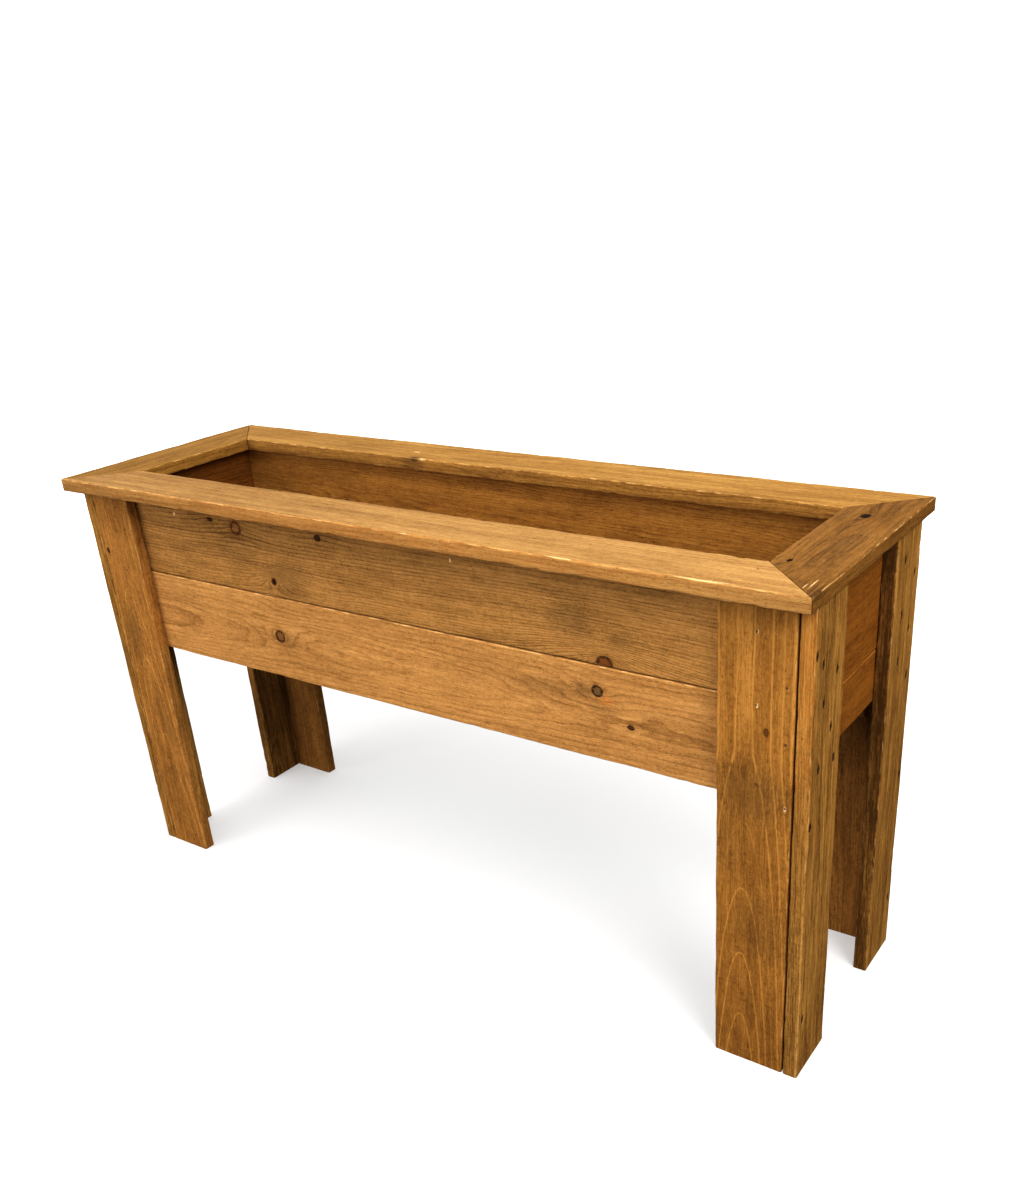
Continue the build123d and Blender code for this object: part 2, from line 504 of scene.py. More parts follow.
# Patches: what the colour under them is multiplied by, and a colour that covers it
PATCHES = {
    "grey": {"times": (0.54, 0.55, 0.58), "cover": (122, 90, 54), "share": 0.12},
    # glow: lighter and warmer; on the rim's front edge and the front right leg's front edge it is a painted
    # highlight
    "glow": {"times": (1.14, 1.02, 0.94), "cover": (190, 122, 52), "share": 0.35},
    "dark": {"times": (0.5, 0.48, 0.46), "cover": (50, 28, 14), "share": 0.7},
    # pale: splinters and chips, but the small pale dots on the front upper wall and the front right leg's
    # face are painted glints
    "pale": {"times": (1.0, 1.0, 1.0), "cover": (246, 214, 160), "share": 0.85},
}

# Noises: rough size along and across the grain in millimetres, detail, roughness, an offset of its
# own, and the values between which it rises from 0 to 1, where it does
NOISES = {
    "sway": (260.0, 70.0, 1.5, 0.5, 0.0, None),             # slow bends of the log
    "tremble": (48.0, 12.0, 3.0, 0.5, 0.0, None),           # quick ones
    "strength": (120.0, 22.0, 2.0, 0.5, 4.0, None),         # how clearly a growth ring shows
    "fibre": (20.0, 1.5, 4.0, 0.62, 0.0, None),
    "hair": (7.0, 0.6, 2.0, 0.5, 0.0, None),
    "mottle": (9.0, 7.0, 3.0, 0.65, 0.0, None),
    "speck": (2.4, 1.3, 2.0, 0.6, 0.0, None),
    "streak": (120.0, 4.6, 3.0, 0.6, 0.0, (0.34, 0.66)),
    "band": (330.0, 17.0, 2.0, 0.5, 7.0, (0.32, 0.68)),
    "pores": (7.0, 1.15, 1.0, 0.5, 3.0, (0.64, 0.72)),
    "tick": (5.0, 10.0, 1.0, 0.5, 0.0, (0.52, 0.66)),       # single planer marks
    "planed": (46.0, 12.0, 2.0, 0.5, 6.0, (0.46, 0.62)),    # where the planer left them
    "cloud": (90.0, 42.0, 4.0, 0.62, 9.0, (0.42, 0.66)),    # clouds in the stain
    "rub": (24.0, 3.0, 4.0, 0.65, 5.0, (0.47, 0.62)),       # where the edges are rubbed pale
}
CRUMB_SIZE = (6.0, 4.5)     # of the noise that breaks up outlines, along and across the grain
SEED_STEP = 37.0            # how far apart in the noises two boards lie

# Darkness across one growth ring, and across a pale line in millimetres from its middle
LATE_WOOD = ((0.0, 0.0), (0.5, 0.1), (0.78, 0.55), (0.87, 1.0), (0.93, 0.35), (1.0, 0.0))
PALE_LINE = (2.0, 0.5)
KNEE_SOFTNESS = 30.0

# One tone runs from the deepest stain at 0 to the palest wood at about 1
USUAL_TONE = 0.62
TONE_SHARES = {"mottle": 0.4, "hair": 0.34, "speck": 0.55}
PORE_TONE = -0.38
EDGE_TURN = (2.2, 0.8)      # millimetres from a narrow face where its own tone starts and is full
STAIN_ON_DEEP = (0.57, 0.54, 0.5, 1.0)      # what the stain's clouds multiply the colours by
STAIN_ON_PALE = (0.77, 0.74, 0.68, 1.0)

PATCH_EDGE = (1.3, 0.4)     # in a patch's own half sizes: where it starts and is full
PATCH_RAGS = (1.3, 1.1)     # how far the fibres and the crumbs tear that outline
NARROW_PATCH = 8.0          # a patch of a smaller half width stays on the nailed face
HALO = (122, 76, 34)        # colours around a knot, of rubbed edges, and of the painted shade in a nail hole
RUBBED = (240, 196, 134)
HOLE_PAINTED_SHADE = (38, 20, 9)
HOLE_EDGE = (1.3, 0.95)     # where that last colour starts and is full, in the hole's half sizes
HOLE_SHADE = (8.0, 6.0)     # and how far below the nailed face
RUB_EDGE = (2.6, 0.7)       # where a rubbed edge starts and is full, in millimetres from it

WOOD = {
    "pale": (224, 168, 100),        # colours from the palest wood to the deepest stain
    "mid": (190, 134, 72),
    "deep": (124, 78, 34),
    "stain_share": 0.4,             # how much the clouds in the stain show
    "pith": (60.0, -30.0),          # the middle of the log, across and through the board
    "lean": (0.01, 0.02),           # how it moves away along the board, in the same directions
    "knee": 10000.0,                # and it moves through the board only up to here
    "spacing": 5.0,                 # between growth rings
    "uneven": 3.0,                  # how unevenly they are spaced, in rings
    "ring_tone": -0.34,             # below zero for darker lines, above for paler ones
    "sway": 26.0,                   # how far the log's slow and quick bends push them
    "tremble": 3.4,
    "fibre": 0.62,                  # how much the fibres and the long streaks show
    "streaks": 0.12,
    "ripple": 0.05,                 # and the planer marks
    "tones": (0.0, 0.0),            # lighter or darker towards the start and the end
    "edge_tones": (0.0, 0.0),       # and on the narrow faces at v = 0 and v = width
    "nail_hole": (2.0, 1.5, 0.9, 0.3),      # half length, half width, depth, strength of the painted shade in it
    "strip": (),                    # a paler strip: v, half width, where it starts along u, tone
    "patches": (),                  # u, v, half length, half width, strength, kind
    "knots": (),                    # u, v, radius, how much longer than wide, kind
    "cracks": (),                   # drying cracks: u, v, half length
    "nick_every": 160.0,            # usual distance between nicks in a long edge
    "arris": 2.0,                   # usual radius of a long edge
    "arris_pale": 0.45,             # how pale the rubbed places on it are
    "step": 7.0,                    # grid step of the mesh
}


class Wood(Graph):
    """Stained softwood cut from a log whose pith runs beside the board."""

    def __init__(self, name, board, look, seed):
        super().__init__(name)
        self.board = board
        self.look = look
        self.shift = SEED_STEP * seed
        self.u, self.v, self.w = self.own_coordinates()
        along, across = CRUMB_SIZE
        place = self.vector(self.over(self.u, along), self.over(self.v, across), self.shift)
        self.crumbs = self.noise(place)
        self.fibre = self.grain("fibre")
        self.pores = self.grain("pores")
        self.chatter = self.times(self.grain("tick"), self.grain("planed"), look["ripple"])
        self.cloud = self.grain("cloud")

    def own_coordinates(self):
        """Sockets for the board's u, v and w in millimetres."""
        place = self.node("ShaderNodeTexCoord", {}, out=3)
        origin = self.board.origin[:]
        away = self.node("ShaderNodeVectorMath", {0: place, 1: origin}, operation="SUBTRACT")
        found = []
        for axis in self.board.axes:
            metres = self.node("ShaderNodeVectorMath", {0: away, 1: axis[:]}, out=1, operation="DOT_PRODUCT")
            found.append(self.over(metres, MM))
        return found

    def grain(self, kind):
        """One of the noises, stretched along the grain."""
        along, across, detail, roughness, offset, edges = NOISES[kind]
        depth = self.add(self.over(self.w, across), self.shift + offset)
        place = self.vector(self.over(self.u, along), self.over(self.v, across), depth)
        noise = self.noise(place, detail, roughness)
        return self.rise(noise, *edges) if edges else noise

    def knot_fields(self, knot):
        """Distance from a knot in its own radii, and how much it disturbs the growth rings."""
        knot_u, knot_v, radius, stretch, kind = knot
        wobble = self.swing(self.crumbs, 0.7)
        along = self.over(self.minus(self.u, knot_u), stretch)
        across = self.minus(self.v, knot_v)
        near = self.add(self.over(self.length(along, across), radius), wobble)
        spread = KNOTS[kind].get("spread", KNOT_SPREAD) * max(radius, SMALLEST_SPREAD)
        wide = self.over(self.length(self.over(along, 2.3), across), spread)
        return near, self.math("EXPONENT", self.times(wide, -1.0))

    def growth_rings(self):
        """How clearly a growth ring shows, and each knot with the distance from it.

        A ring goes by its distance from a leaning, wandering pith, pushed out around the knots.
        """
        look = self.look
        sway = self.swing(self.grain("sway"), look["sway"])
        tremble = self.swing(self.grain("tremble"), look["tremble"])
        from_v = self.add(self.minus(self.v, look["pith"][0]), self.times(self.u, look["lean"][0]), sway)
        bent = self.math("SMOOTH_MIN", self.u, look["knee"], KNEE_SOFTNESS)
        leaning = self.times(bent, look["lean"][1])
        from_w = self.add(self.minus(self.w, look["pith"][1]), leaning, self.times(sway, 0.6))
        radius = self.add(self.length(from_v, from_w), tremble)
        knots, swirl = [], 0.0
        for knot in look["knots"]:
            near, fade = self.knot_fields(knot)
            radius = self.add(radius, self.times(fade, KNOTS[knot[-1]]["flow"]))
            swirl = self.math("MAXIMUM", fade, swirl)
            knots.append((knot, near))

        phase = self.over(radius, look["spacing"])
        uneven = self.noise(self.vector(self.over(phase, 5.0), self.shift, 0.0), detail=1.0)
        phase = self.add(phase, self.times(uneven, look["uneven"]))
        across_ring = self.math("FRACT", phase)
        if look["ring_tone"] > 0:
            slope = self.over(self.length(from_v, self.times(from_w, look["lean"][1])), radius)
            from_line = self.math("ABSOLUTE", self.minus(across_ring, 0.5))
            ring = self.rise(self.over(self.times(from_line, look["spacing"]), slope), *PALE_LINE)
        else:
            ring = self.curve(across_ring, LATE_WOOD)
        number = self.add(self.math("FLOOR", phase), self.shift)
        each = self.node("ShaderNodeTexWhiteNoise", {"W": number}, noise_dimensions="1D")
        weight = self.add(self.times(each, 0.7), self.times(self.grain("strength"), 0.9), -0.1)
        clear = self.add(self.math("MAXIMUM", weight, 0.1), self.times(swirl, 0.75))
        return self.times(ring, clear), knots

    def tone(self, ring):
        """From 0 for the deepest stain to about 1 for the palest wood."""
        look = self.look
        tone = self.add(USUAL_TONE, self.times(ring, look["ring_tone"]))
        tone = self.add(tone, self.swing(self.fibre, look["fibre"]))
        for kind, share in TONE_SHARES.items():
            tone = self.add(tone, self.swing(self.grain(kind), share))
        for kind in ("streak", "band"):
            tone = self.add(tone, self.swing(self.grain(kind), look["streaks"]))
        tone = self.add(tone, self.times(self.pores, PORE_TONE), self.times(self.chatter, -1.0))

        along_board = self.rise(self.u, 0.0, self.board.length, *look["tones"])
        low_tone, high_tone = look["edge_tones"]
        outer, inner = EDGE_TURN
        width = self.board.width
        low_edge = self.rise(self.v, outer, inner, 0.0, low_tone)
        high_edge = self.rise(self.v, width - outer, width - inner, 0.0, high_tone)
        tone = self.add(tone, along_board, low_edge, high_edge)
        if look["strip"]:
            middle, half, starts, lift = look["strip"]
            aside = self.math("ABSOLUTE", self.minus(self.v, middle))
            inside = self.rise(aside, half + 1.0, half - 1.0)
            along = self.rise(self.u, starts - 30.0, starts + 30.0)
            tone = self.add(tone, self.times(inside, along, lift))
        return tone

    def stained(self, tone):
        """The wood's colour for its tone, with clouds in the stain."""
        pale, mid, deep = [linear(*self.look[name]) for name in ("pale", "mid", "deep")]
        dark_half = self.mix(self.over(tone, 0.6), deep, mid)
        colour = self.mix(self.rise(tone, 0.5, 1.1), dark_half, pale)
        clouded = self.mix(1.0, colour, self.mix(tone, STAIN_ON_DEEP, STAIN_ON_PALE), "MULTIPLY")
        return self.mix(self.times(self.cloud, self.look["stain_share"]), colour, clouded)

    def patched(self, colour):
        """The colour with its ragged patches."""
        by_fibre, by_crumbs = PATCH_RAGS
        for at_u, at_v, half_u, half_v, strength, kind in self.look["patches"]:
            from_u = self.over(self.minus(self.u, at_u), half_u)
            from_v = self.over(self.minus(self.v, at_v), half_v)
            away = self.length(from_u, from_v)
            if half_v < NARROW_PATCH:
                below = self.minus(self.board.thick, self.w)
                away = self.length(away, self.over(below, max(half_v, 1.5)))
            ragged = self.add(away, self.swing(self.fibre, by_fibre), self.swing(self.crumbs, by_crumbs))
            patch = PATCHES[kind]
            inside = self.mix(1.0, colour, (*patch["times"], 1.0), "MULTIPLY")
            inside = self.mix(patch["share"], inside, linear(*patch["cover"]))
            colour = self.mix(self.rise(ragged, *PATCH_EDGE, 0.0, strength), colour, inside)
        return colour

    def knotted(self, colour, relief, knots):
        """The colour and the relief with the knots: a halo, a ringed core and broken bark."""
        for (_, _, size, _, kind), near in knots:
            style = KNOTS[kind]
            core, bark_colour = linear(*style["core"]), linear(*style["ring"])
            halo = self.rise(near, *KNOT_HALO)
            colour = self.mix(halo, colour, self.mix(0.5, colour, linear(*HALO)))
            inner = self.math("FRACT", self.times(near, max(2.0, 0.35 * size)))
            core_tone = self.mix(self.times(inner, 0.55), core, bark_colour)
            colour = self.mix(self.rise(near, *KNOT_CORE, 0.0, style["core_share"]), colour, core_tone)
            bark = self.rise(self.math("ABSOLUTE", self.minus(near, 1.0)), *KNOT_BARK)
            broken = self.rise(self.crumbs, 0.36, 0.5, 0.5, 1.0)
            colour = self.mix(self.times(bark, broken, 0.9), colour, bark_colour)
            relief = self.add(relief, self.times(bark, -1.2))
        return colour, relief

    def worn_edges(self):
        """Where the long edges are rubbed pale."""
        edge_v = self.math("MINIMUM", self.v, self.minus(self.board.width, self.v))
        edge_w = self.math("MINIMUM", self.w, self.minus(self.board.thick, self.w))
        to_edge = self.math("MAXIMUM", edge_v, edge_w)
        return self.times(self.rise(to_edge, *RUB_EDGE), self.grain("rub"))

    def punched(self, colour):
        """The colour with painted shade, a dark spot, in each nail hole of the nailed face."""
        along, across, _, dark = self.look["nail_hole"]
        spot = self.vector(self.over(self.u, along), self.over(self.v, across), 0.0)
        nearest = 100.0
        for u, v in self.board.holes:
            ends = {0: spot, 1: (u / along, v / across, 0.0)}
            away = self.node("ShaderNodeVectorMath", ends, out=1, operation="DISTANCE")
            nearest = self.math("MINIMUM", away, nearest)
        starts, full = HOLE_SHADE
        on_top = self.rise(self.w, self.board.thick - starts, self.board.thick - full)
        shade = self.times(self.rise(nearest, *HOLE_EDGE), on_top)
        return self.mix(self.times(shade, dark), colour, linear(*HOLE_PAINTED_SHADE))


def wood_material(name, board, look, seed):
    """A board's own wood: colour, roughness and fine relief."""
    g = Wood(name, board, look, seed)
    ring, knots = g.growth_rings()
    relief = g.add(g.times(ring, 0.4), g.times(g.fibre, 0.9))
    relief = g.add(relief, g.times(g.pores, -0.6), g.times(g.chatter, -0.8))
    colour = g.patched(g.stained(g.tone(ring)))
    colour, relief = g.knotted(colour, relief, knots)
    worn = g.worn_edges()
    colour = g.mix(g.times(worn, look["arris_pale"]), colour, linear(*RUBBED))
    if board.holes:
        colour = g.punched(colour)
    g.feed(g.shader.inputs["Base Color"], colour)
    rough = g.add(0.5, g.times(g.fibre, 0.24), g.times(g.cloud, 0.08), g.times(worn, 0.12))
    g.feed(g.shader.inputs["Roughness"], rough)
    g.shader.inputs["Specular IOR Level"].default_value = 0.1
    bump = g.node("ShaderNodeBump", {"Strength": 0.7, "Distance": 0.5 * MM, "Height": relief})
    g.feed(g.shader.inputs["Normal"], bump)
    return g.material


def steel_material():
    """Nail heads: dulled wire with rust in blotches."""
    g = Graph("nail_steel")
    place = g.node("ShaderNodeTexCoord", {}, out=3)
    blotch = g.rise(g.noise(place, scale=900.0, detail=3.0), 0.4, 0.6)
    colour = g.mix(blotch, linear(120, 116, 112), linear(96, 58, 34))
    g.feed(g.shader.inputs["Base Color"], colour)
    g.feed(g.shader.inputs["Metallic"], g.rise(blotch, 0.9, 0.1))
    g.feed(g.shader.inputs["Roughness"], g.add(0.4, g.times(blotch, 0.35)))
    scratch = g.noise(place, scale=2600.0, detail=2.0)
    bump = g.node("ShaderNodeBump", {"Strength": 0.3, "Distance": 0.1 * MM, "Height": scratch})
    g.feed(g.shader.inputs["Normal"], bump)
    return g.material


# -------------------- every board and its wood

RIM = {"pale": (203, 163, 102), "mid": (178, 137, 81), "deep": (122, 83, 40), "stain_share": 0.25,
       "spacing": 3.2, "ring_tone": -0.3, "nick_every": 60, "arris": 2.2, "arris_pale": 0.6,
       "fibre": 0.9, "streaks": 0.2}
WALL = {"pale": (228, 179, 113), "mid": (193, 143, 83), "deep": (121, 80, 38), "spacing": 4.2,
        "fibre": 0.7}
LEG = {"pale": (207, 157, 86), "mid": (171, 120, 59), "deep": (96, 63, 28), "stain_share": 0.6,
       "spacing": 5.0, "ripple": 0.15, "fibre": 0.85, "arris": 2.6, "nick_every": 110}
END = {"pale": (196, 150, 80), "mid": (160, 116, 56), "deep": (92, 60, 24), "stain_share": 0.5,
       "spacing": 3.6, "arris": 2.4, "nick_every": 90, "fibre": 1.2, "streaks": 0.3,
       "nail_hole": (6.5, 3.2, 3.3, 0.95)}
INNER = {**WALL, "pale": (200, 149, 76), "mid": (168, 118, 54), "deep": (98, 60, 24), "fibre": 0.9}
END_WALL = {**INNER, "pale": (174, 116, 46), "mid": (144, 91, 31), "deep": (84, 48, 12), "fibre": 1.0,
            "arris_pale": 0.1}
# The left wall's colours are the inner walls' wood darkened as painted shade for the inside of the trough's
# left end.
LEFT_WALL = {**INNER, "pale": (140, 92, 36), "mid": (112, 68, 20), "deep": (60, 34, 8)}
FLOOR = {"pale": (200, 150, 84), "mid": (166, 118, 58), "deep": (104, 70, 30), "step": 12}

# Each board: node, directions of its grain, its width and its nailed face, slot, family, own look
BOARDS = [
    ("rim_front", "+X", "+Y", "+Z", "rim_wood", RIM, {
        "pith": (130, -50), "lean": (0.004, 0.01), "tones": (-0.08, 0.04),
        "edge_tones": (-0.04, -0.3),
        "patches": ((1071, 1.5, 26, 1.2, 1.0, "pale"), (1275, 2.0, 34, 1.6, 1.0, "pale"),
                    (1300, 5.0, 20, 1.0, 0.8, "pale"), (800, 1.0, 10, 1.4, 0.8, "pale"),
                    (1405, 1.0, 14, 3.0, 0.5, "grey"), (560, 3.0, 60, 1.6, 0.5, "dark"),
                    # The long glow patch along the front edge is a painted highlight.
                    (760, -7.0, 900, 10, 0.7, "glow"))}),
    ("rim_back", "+X", "-Y", "+Z", "rim_wood", RIM, {
        "pale": (207, 166, 96), "mid": (173, 130, 66), "deep": (122, 83, 36), "pith": (20, -35),
        "edge_tones": (0.0, -0.3),
        "patches": ((503, 63, 8.0, 3.0, 0.9, "pale"), (522, 100, 22, 8.0, 0.6, "grey"),
                    (526, 100, 9.0, 7.5, 0.8, "dark"), (544, 99, 9.0, 3.0, 0.8, "pale"))}),
    ("rim_left", "+Y", "+X", "+Z", "rim_wood", RIM, {
        "pale": (182, 140, 69), "mid": (153, 112, 51), "deep": (99, 67, 25), "pith": (70, -30)}),
    ("rim_right", "+Y", "-X", "+Z", "rim_wood", RIM, {
        "pale": (164, 120, 60), "mid": (136, 95, 42), "deep": (76, 49, 19), "pith": (40, -40),
        "stain_share": 0.5, "knots": ((325, 58, 5.6, 1.5, "hole"), (114, 78, 3.0, 1.6, "hole")),
        "patches": ((18, 2.0, 26, 7.0, 0.9, "grey"), (46, 18, 16, 1.0, 0.8, "pale"),
                    (34, 24, 9.0, 1.0, 0.8, "pale"), (200, 40, 60, 14, 0.4, "grey"),
                    (215, 0.0, 8.0, 1.6, 0.8, "pale"))}),
    ("front_wall_upper", "+X", "+Z", "-Y", "wall_wood", WALL, {
        "pale": (218, 167, 101), "mid": (184, 137, 77), "deep": (108, 75, 38), "stain_share": 0.5,
        "pith": (168, -44), "lean": (0.0, 0.004), "ring_tone": -0.46, "spacing": 4.4,
        "tones": (-0.1, 0.04),
        "knots": ((348, 111, 10.5, 1.0, "ghost"), (420, 27, 5.2, 0.9, "spike"),
                  (539, 118, 4.6, 1.3, "dark"), (287, 119, 3.0, 2.0, "dark"),
                  (1068, 4.0, 10, 1.15, "red")),
        "patches": ((1012, 62, 40, 26, 0.5, "grey"), (1096, 44, 20, 16, 0.35, "grey"),
                    (455, 40, 50, 34, 0.45, "grey"), (340, 80, 60, 26, 0.3, "grey"),
                    # The two small pale patches near the top edge are painted glints.
                    (195, 118, 2.4, 3.4, 1.0, "pale"), (808, 119, 2.0, 4.0, 1.0, "pale"))}),
    ("front_wall_lower", "+X", "+Z", "-Y", "wall_wood", WALL, {
        "pith": (70, -46), "lean": (0.0, 0.02), "ring_tone": -0.28, "arris_pale": 0.9,
        "knots": ((411, 78, 9.5, 1.0, "tight"), (1054, 110, 8.0, 1.0, "grey"),
                  (1108, 64, 3.4, 1.5, "dark")),
        "patches": ((1030, 108, 16, 14, 0.6, "grey"), (1068, 98, 13, 8.0, 0.9, "glow"),
                    (1064, 82, 26, 8.0, 0.4, "grey"), (430, 74, 40, 20, 0.3, "grey"),
                    (960, 100, 70, 16, 0.3, "grey"))}),
    ("back_wall_upper", "+X", "+Z", "+Y", "wall_wood", INNER, {
        "pith": (60, -24), "stain_share": 0.6,
        "knots": ((300, 60, 9.0, 1.0, "tight"), (930, 30, 7.0, 1.2, "grey"))}),
    ("back_wall_lower", "+X", "+Z", "+Y", "wall_wood", INNER, {
        "pith": (40, -30),
        "knots": ((640, 84, 9.0, 1.1, "tight"), (1210, 40, 6.0, 1.0, "dark"))}),
    ("left_wall_upper", "+Y", "+Z", "-X", "wall_wood", LEFT_WALL, {"pith": (90, -30)}),
    ("left_wall_lower", "+Y", "+Z", "-X", "wall_wood", LEFT_WALL, {"pith": (30, -30)}),
    ("right_wall_upper", "+Y", "+Z", "+X", "wall_wood", END_WALL, {
        "pith": (60, -60), "ring_tone": -0.2, "stain_share": 0.3}),
    ("right_wall_lower", "+Y", "+Z", "+X", "wall_wood", END_WALL, {
        "pith": (20, -60), "ring_tone": -0.2, "stain_share": 0.3}),
    ("leg_front_left_face", "+Z", "+X", "-Y", "leg_wood", LEG, {
        "pith": (52, -8.0), "lean": (0.02, 0.06), "spacing": 9.0, "ring_tone": 0.26, "uneven": 1.2,
        "sway": 14, "tremble": 1.2, "tones": (-0.16, -0.04),
        "knots": ((628, 12, 3.0, 1.6, "dark"),),
        "patches": ((470, 30, 60, 26, 0.6, "grey"), (300, 60, 70, 20, 0.4, "grey"))}),
    ("leg_front_left_end", "+Z", "+Y", "-X", "leg_wood", END, {}),
    ("leg_front_right_face", "+Z", "-X", "-Y", "leg_wood", LEG, {
        "pale": (194, 142, 72), "mid": (156, 108, 48), "deep": (88, 56, 22), "uneven": 0.0, "sway": 1.4,
        "tremble": 0.4, "pith": (68.5, -9.15), "lean": (0.0, 0.075), "knee": 518, "spacing": 8.32,
        "ring_tone": 0.3, "tones": (-0.1, 0.1), "strip": (68.5, 9.0, 530, 0.2),
        "knots": ((560, 38, 3.0, 1.8, "mark"),),
        "patches": ((465, 58, 50, 54, 0.7, "grey"), (380, 90, 60, 24, 0.4, "grey"),
                    # The three small pale patches over nail heads are painted glints.
                    (697, 52.5, 3.0, 2.0, 1.0, "pale"), (596, 51.5, 3.0, 2.0, 1.0, "pale"),
                    (454, 8.5, 5.0, 2.0, 1.0, "pale"), (250, 40, 60, 40, 0.5, "grey"))}),
    ("leg_front_right_end", "+Z", "+Y", "+X", "leg_wood", END, {
        "pith": (30, -60), "cracks": ((676, 76, 30), (700, 70, 26)),
        "edge_tones": (0.1, -0.1),
        # The glow patch on this board's front edge is a painted highlight.
        "patches": ((650, 22, 90, 12, 0.4, "grey"), (660, -6.0, 250, 9.0, 0.8, "glow"),
                    (130, -6.0, 260, 9.0, 0.5, "grey"))}),
    # The darker tones of the back left leg's boards and the back right leg's face board are painted shade
    # under the trough.
    ("leg_back_left_face", "+Z", "+X", "+Y", "leg_wood", LEG, {
        "pith": (20, -30), "tones": (-0.1, -0.1)}),
    ("leg_back_left_end", "+Z", "-Y", "-X", "leg_wood", END, {
        "pith": (80, -30), "tones": (-0.2, -0.2)}),
    ("leg_back_right_face", "+Z", "-X", "+Y", "leg_wood", LEG, {
        "pith": (80, -20), "lean": (0.0, 0.04), "tones": (-0.15, -0.15)}),
    ("leg_back_right_end", "+Z", "-Y", "+X", "leg_wood", END, {
        "pith": (20, -40), "lean": (0.03, 0.0), "edge_tones": (0.0, -0.5)}),
    ("floor_cleat_front", "+X", "+Z", "+Y", "floor_wood", FLOOR, {"spacing": 3.5, "pith": (10, -40)}),
    ("floor_cleat_back", "+X", "+Z", "-Y", "floor_wood", FLOOR, {"spacing": 3.5, "pith": (10, -60)}),
]
SLATS = sorted(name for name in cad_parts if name.startswith("floor_slat_"))
BOARDS += [(slat, "+Y", "+X", "+Z", "floor_wood", FLOOR, {}) for slat in SLATS]


def build_boards():
    """Every board in its own wood. A board whose pith isn't given gets one by chance."""
    for number, (node, grain, width, face, slot, family, own) in enumerate(BOARDS):
        rng = np.random.default_rng(100 + number)
        look = {**WOOD, **family, **own}
        if "pith" not in own:
            look["pith"] = (rng.uniform(0, 100), rng.uniform(-60, -20))
            look["lean"] = (rng.uniform(-0.02, 0.02), rng.uniform(-0.04, 0.04))
        board = Board(node, grain, width, face, mitred=node.startswith("rim_"))
        points, faces = board_mesh(board, look, rng)
        material = wood_material(node + "_wood", board, look, number)
        add_piece(node + "_board", points, faces, material, node)


# -------------------- nails

# How far the top of a nail lies below the wood, in millimetres: usually, and in deep holes
NAIL_SINK = 0.6
NAIL_SINKS = {"nails_leg_end": 2.3}
# Half of a nail's section, from the middle of its head: radius and depth
NAIL_OUTLINE = ((0.0, 0.25), (0.7, 0.1), (1.15, 0.0), (1.35, 0.15), (1.35, 0.5), (0.8, 1.0), (0.8, 6.0))
NAIL_SIDES = 12
NAIL_TILT = 0.06            # most that a head slopes


def build_nails():
    """Small punched nails, one mesh for each group, sunk in the holes of the boards."""
    material = steel_material()
    for number, node in enumerate(NAIL_NODES):
        rng = np.random.default_rng(500 + number)
        points, faces = [], []
        below = NAIL_SINKS.get(node, NAIL_SINK)
        for head, direction in nails[node]:
            side = direction.orthogonal().normalized()
            other = direction.cross(side)
            tilt = rng.uniform(-NAIL_TILT, NAIL_TILT)
            first = len(points)
            points.append(head + direction * (below + NAIL_OUTLINE[0][1]) * MM)
            for radius, depth in NAIL_OUTLINE[1:]:
                for turn in range(NAIL_SIDES):
                    angle = math.tau * turn / NAIL_SIDES
                    across = (side * math.cos(angle) + other * math.sin(angle)) * radius
                    sink = below + depth + tilt * radius * math.cos(angle)
                    points.append(head + (across + direction * sink) * MM)
            rings = [[first + 1 + ring * NAIL_SIDES + turn for turn in range(NAIL_SIDES)]
                     for ring in range(len(NAIL_OUTLINE) - 1)]
            for turn in range(NAIL_SIDES):
                after = (turn + 1) % NAIL_SIDES
                faces.append([first, rings[0][after], rings[0][turn]])
                for upper, lower in zip(rings, rings[1:]):
                    faces.append([upper[turn], upper[after], lower[after], lower[turn]])
            faces.append(rings[-1])
        add_piece(node + "_punched", points, faces, material, node)


# -------------------- floor, lights, camera

STAGE_RINGS = (4.0, 9.0)        # of the flat floor, the last one where it turns up
STAGE_TURN = 2.0                # radius of that turn
STAGE_TOP = 9.0
STAGE_SIDES = 64
PAPER_GLOW = (1.2, 4.0, 0.44, 1.1)      # from this far out to this far, and how bright at each


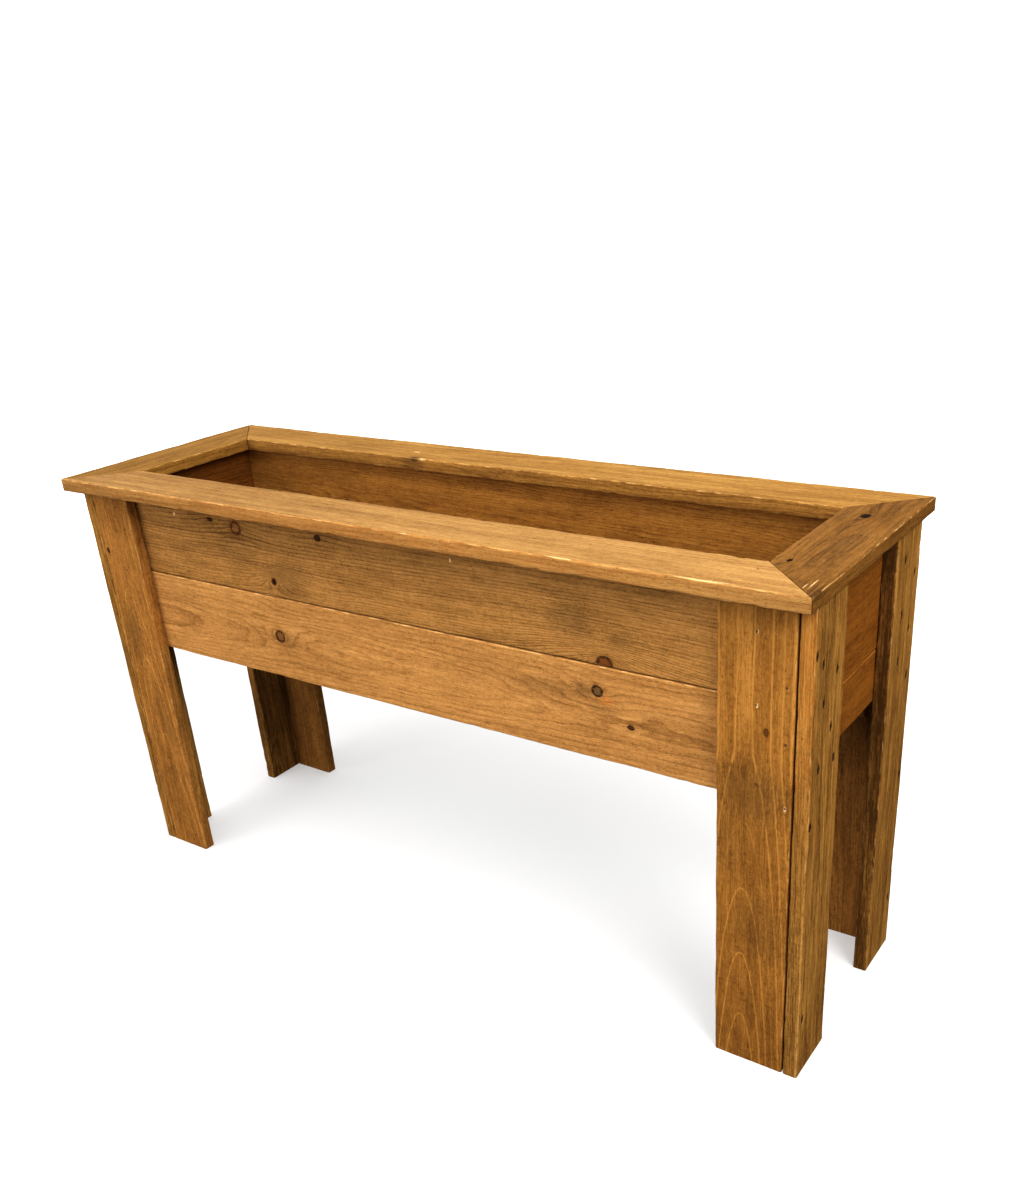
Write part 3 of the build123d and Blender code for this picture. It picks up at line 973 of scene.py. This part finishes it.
def build_stage():
    """A pale floor that runs up into a pale wall all round, far from the object."""
    flat = STAGE_RINGS[-1]
    profile = [(radius, 0.0) for radius in STAGE_RINGS]
    for angle in np.linspace(0.2, math.pi / 2, 8):
        profile.append((flat + STAGE_TURN * math.sin(angle), STAGE_TURN - STAGE_TURN * math.cos(angle)))
    profile.append((flat + STAGE_TURN, STAGE_TOP))
    points = [(0.0, 0.0, 0.0)]
    for radius, height in profile:
        for turn in range(STAGE_SIDES):
            angle = math.tau * turn / STAGE_SIDES
            points.append((radius * math.cos(angle), radius * math.sin(angle), height))
    faces = [[0, 1 + turn, 1 + (turn + 1) % STAGE_SIDES] for turn in range(STAGE_SIDES)]
    for ring in range(len(profile) - 1):
        low, high = 1 + ring * STAGE_SIDES, 1 + (ring + 1) * STAGE_SIDES
        for turn in range(STAGE_SIDES):
            after = (turn + 1) % STAGE_SIDES
            faces.append([low + turn, high + turn, high + after, low + after])
    mesh = bpy.data.meshes.new("studio_floor")
    mesh.from_pydata(points, [], faces)
    mesh.shade_smooth()
    g = Graph("studio_paper")
    place = g.node("ShaderNodeTexCoord", {}, out=3)
    away = g.node("ShaderNodeVectorMath", {0: place}, out=1, operation="LENGTH")
    g.feed(g.shader.inputs["Emission Strength"], g.rise(away, *PAPER_GLOW))
    g.shader.inputs["Base Color"].default_value = (0.5, 0.5, 0.5, 1.0)
    g.shader.inputs["Roughness"].default_value = 0.9
    g.shader.inputs["Specular IOR Level"].default_value = 0.0
    g.shader.inputs["Emission Color"].default_value = (1.0, 1.0, 1.0, 1.0)
    mesh.materials.append(g.material)
    stage = bpy.data.objects.new("studio_floor", mesh)
    bpy.context.scene.collection.objects.link(stage)
    stage.visible_diffuse = False
    stage.visible_glossy = False


def area_light(name, place, target, size, power, colour):
    """A round lamp that looks at its target."""
    data = bpy.data.lights.new(name, "AREA")
    data.shape = "DISK"
    data.size = size
    data.energy = power
    data.color = colour
    lamp = bpy.data.objects.new(name, data)
    bpy.context.scene.collection.objects.link(lamp)
    lamp.location = place
    lamp.rotation_euler = (Vector(target) - Vector(place)).to_track_quat("-Z", "Y").to_euler()
    return lamp


SKY_BRIGHTEST = Vector((-0.3, -0.75, 0.59)).normalized()
SKY_GLOW = (-0.9, 1.1, 0.3, 1.25)       # facing away from there to facing it, and how bright
SKY_HORIZON = (-0.12, 0.1)
GROUND_LIGHT = 0.18                     # strength from below, and what the sky adds to it above
SKY_LIGHT = 1.1
GROUND_COLOUR = (0.5, 0.36, 0.22, 1.0)
SKY_COLOUR = (1.0, 1.0, 1.0, 1.0)


def build_lights():
    """A wide soft sky, brightest towards the front left, and three large soft lamps."""
    area_light("key", (-2.2, -4.6, 1.9), (0.0, 0.0, 0.5), 3.0, 100.0, (1.0, 0.98, 0.95))
    area_light("fill", (3.2, -1.6, 3.4), (0.0, 0.0, 0.5), 2.4, 170.0, (1.0, 0.99, 0.97))
    back = area_light("back", (-0.9, 4.6, 1.5), (0.0, 0.0, 0.4), 3.0, 60.0, (1.0, 0.99, 0.97))
    back.visible_glossy = False
    world = bpy.data.worlds.new("studio_air")
    bpy.context.scene.world = world
    world.use_nodes = True
    g = Graph.of_tree(world.node_tree)
    towards = g.node("ShaderNodeTexCoord", {}, out=0)
    ends = {0: towards, 1: SKY_BRIGHTEST[:]}
    facing = g.node("ShaderNodeVectorMath", ends, out=1, operation="DOT_PRODUCT")
    height = g.node("ShaderNodeSeparateXYZ", {0: towards}, out=2)
    glow = g.rise(facing, *SKY_GLOW)
    above = g.rise(height, *SKY_HORIZON)
    sky = world.node_tree.nodes["Background"]
    g.feed(sky.inputs["Color"], g.mix(above, GROUND_COLOUR, SKY_COLOUR))
    g.feed(sky.inputs["Strength"], g.times(glow, g.add(g.times(above, SKY_LIGHT), GROUND_LIGHT)))


def build_camera():
    """The camera stands beyond the front right corner and looks down across the trough."""
    data = bpy.data.cameras.new("camera")
    data.sensor_width = 36.0
    data.lens = 34.812
    data.shift_x = -0.038
    data.shift_y = 0.1127
    camera = bpy.data.objects.new("camera", data)
    bpy.context.scene.collection.objects.link(camera)
    camera.location = (1.18166, -1.41390, 1.25103)
    camera.rotation_euler = [math.radians(angle) for angle in (62.8697, 3.3432, 33.6572)]
    bpy.context.scene.camera = camera


build_boards()
build_nails()
build_stage()
build_lights()
build_camera()
bpy.context.scene.view_settings.view_transform = "Standard"
bpy.context.scene.view_settings.gamma = 0.8
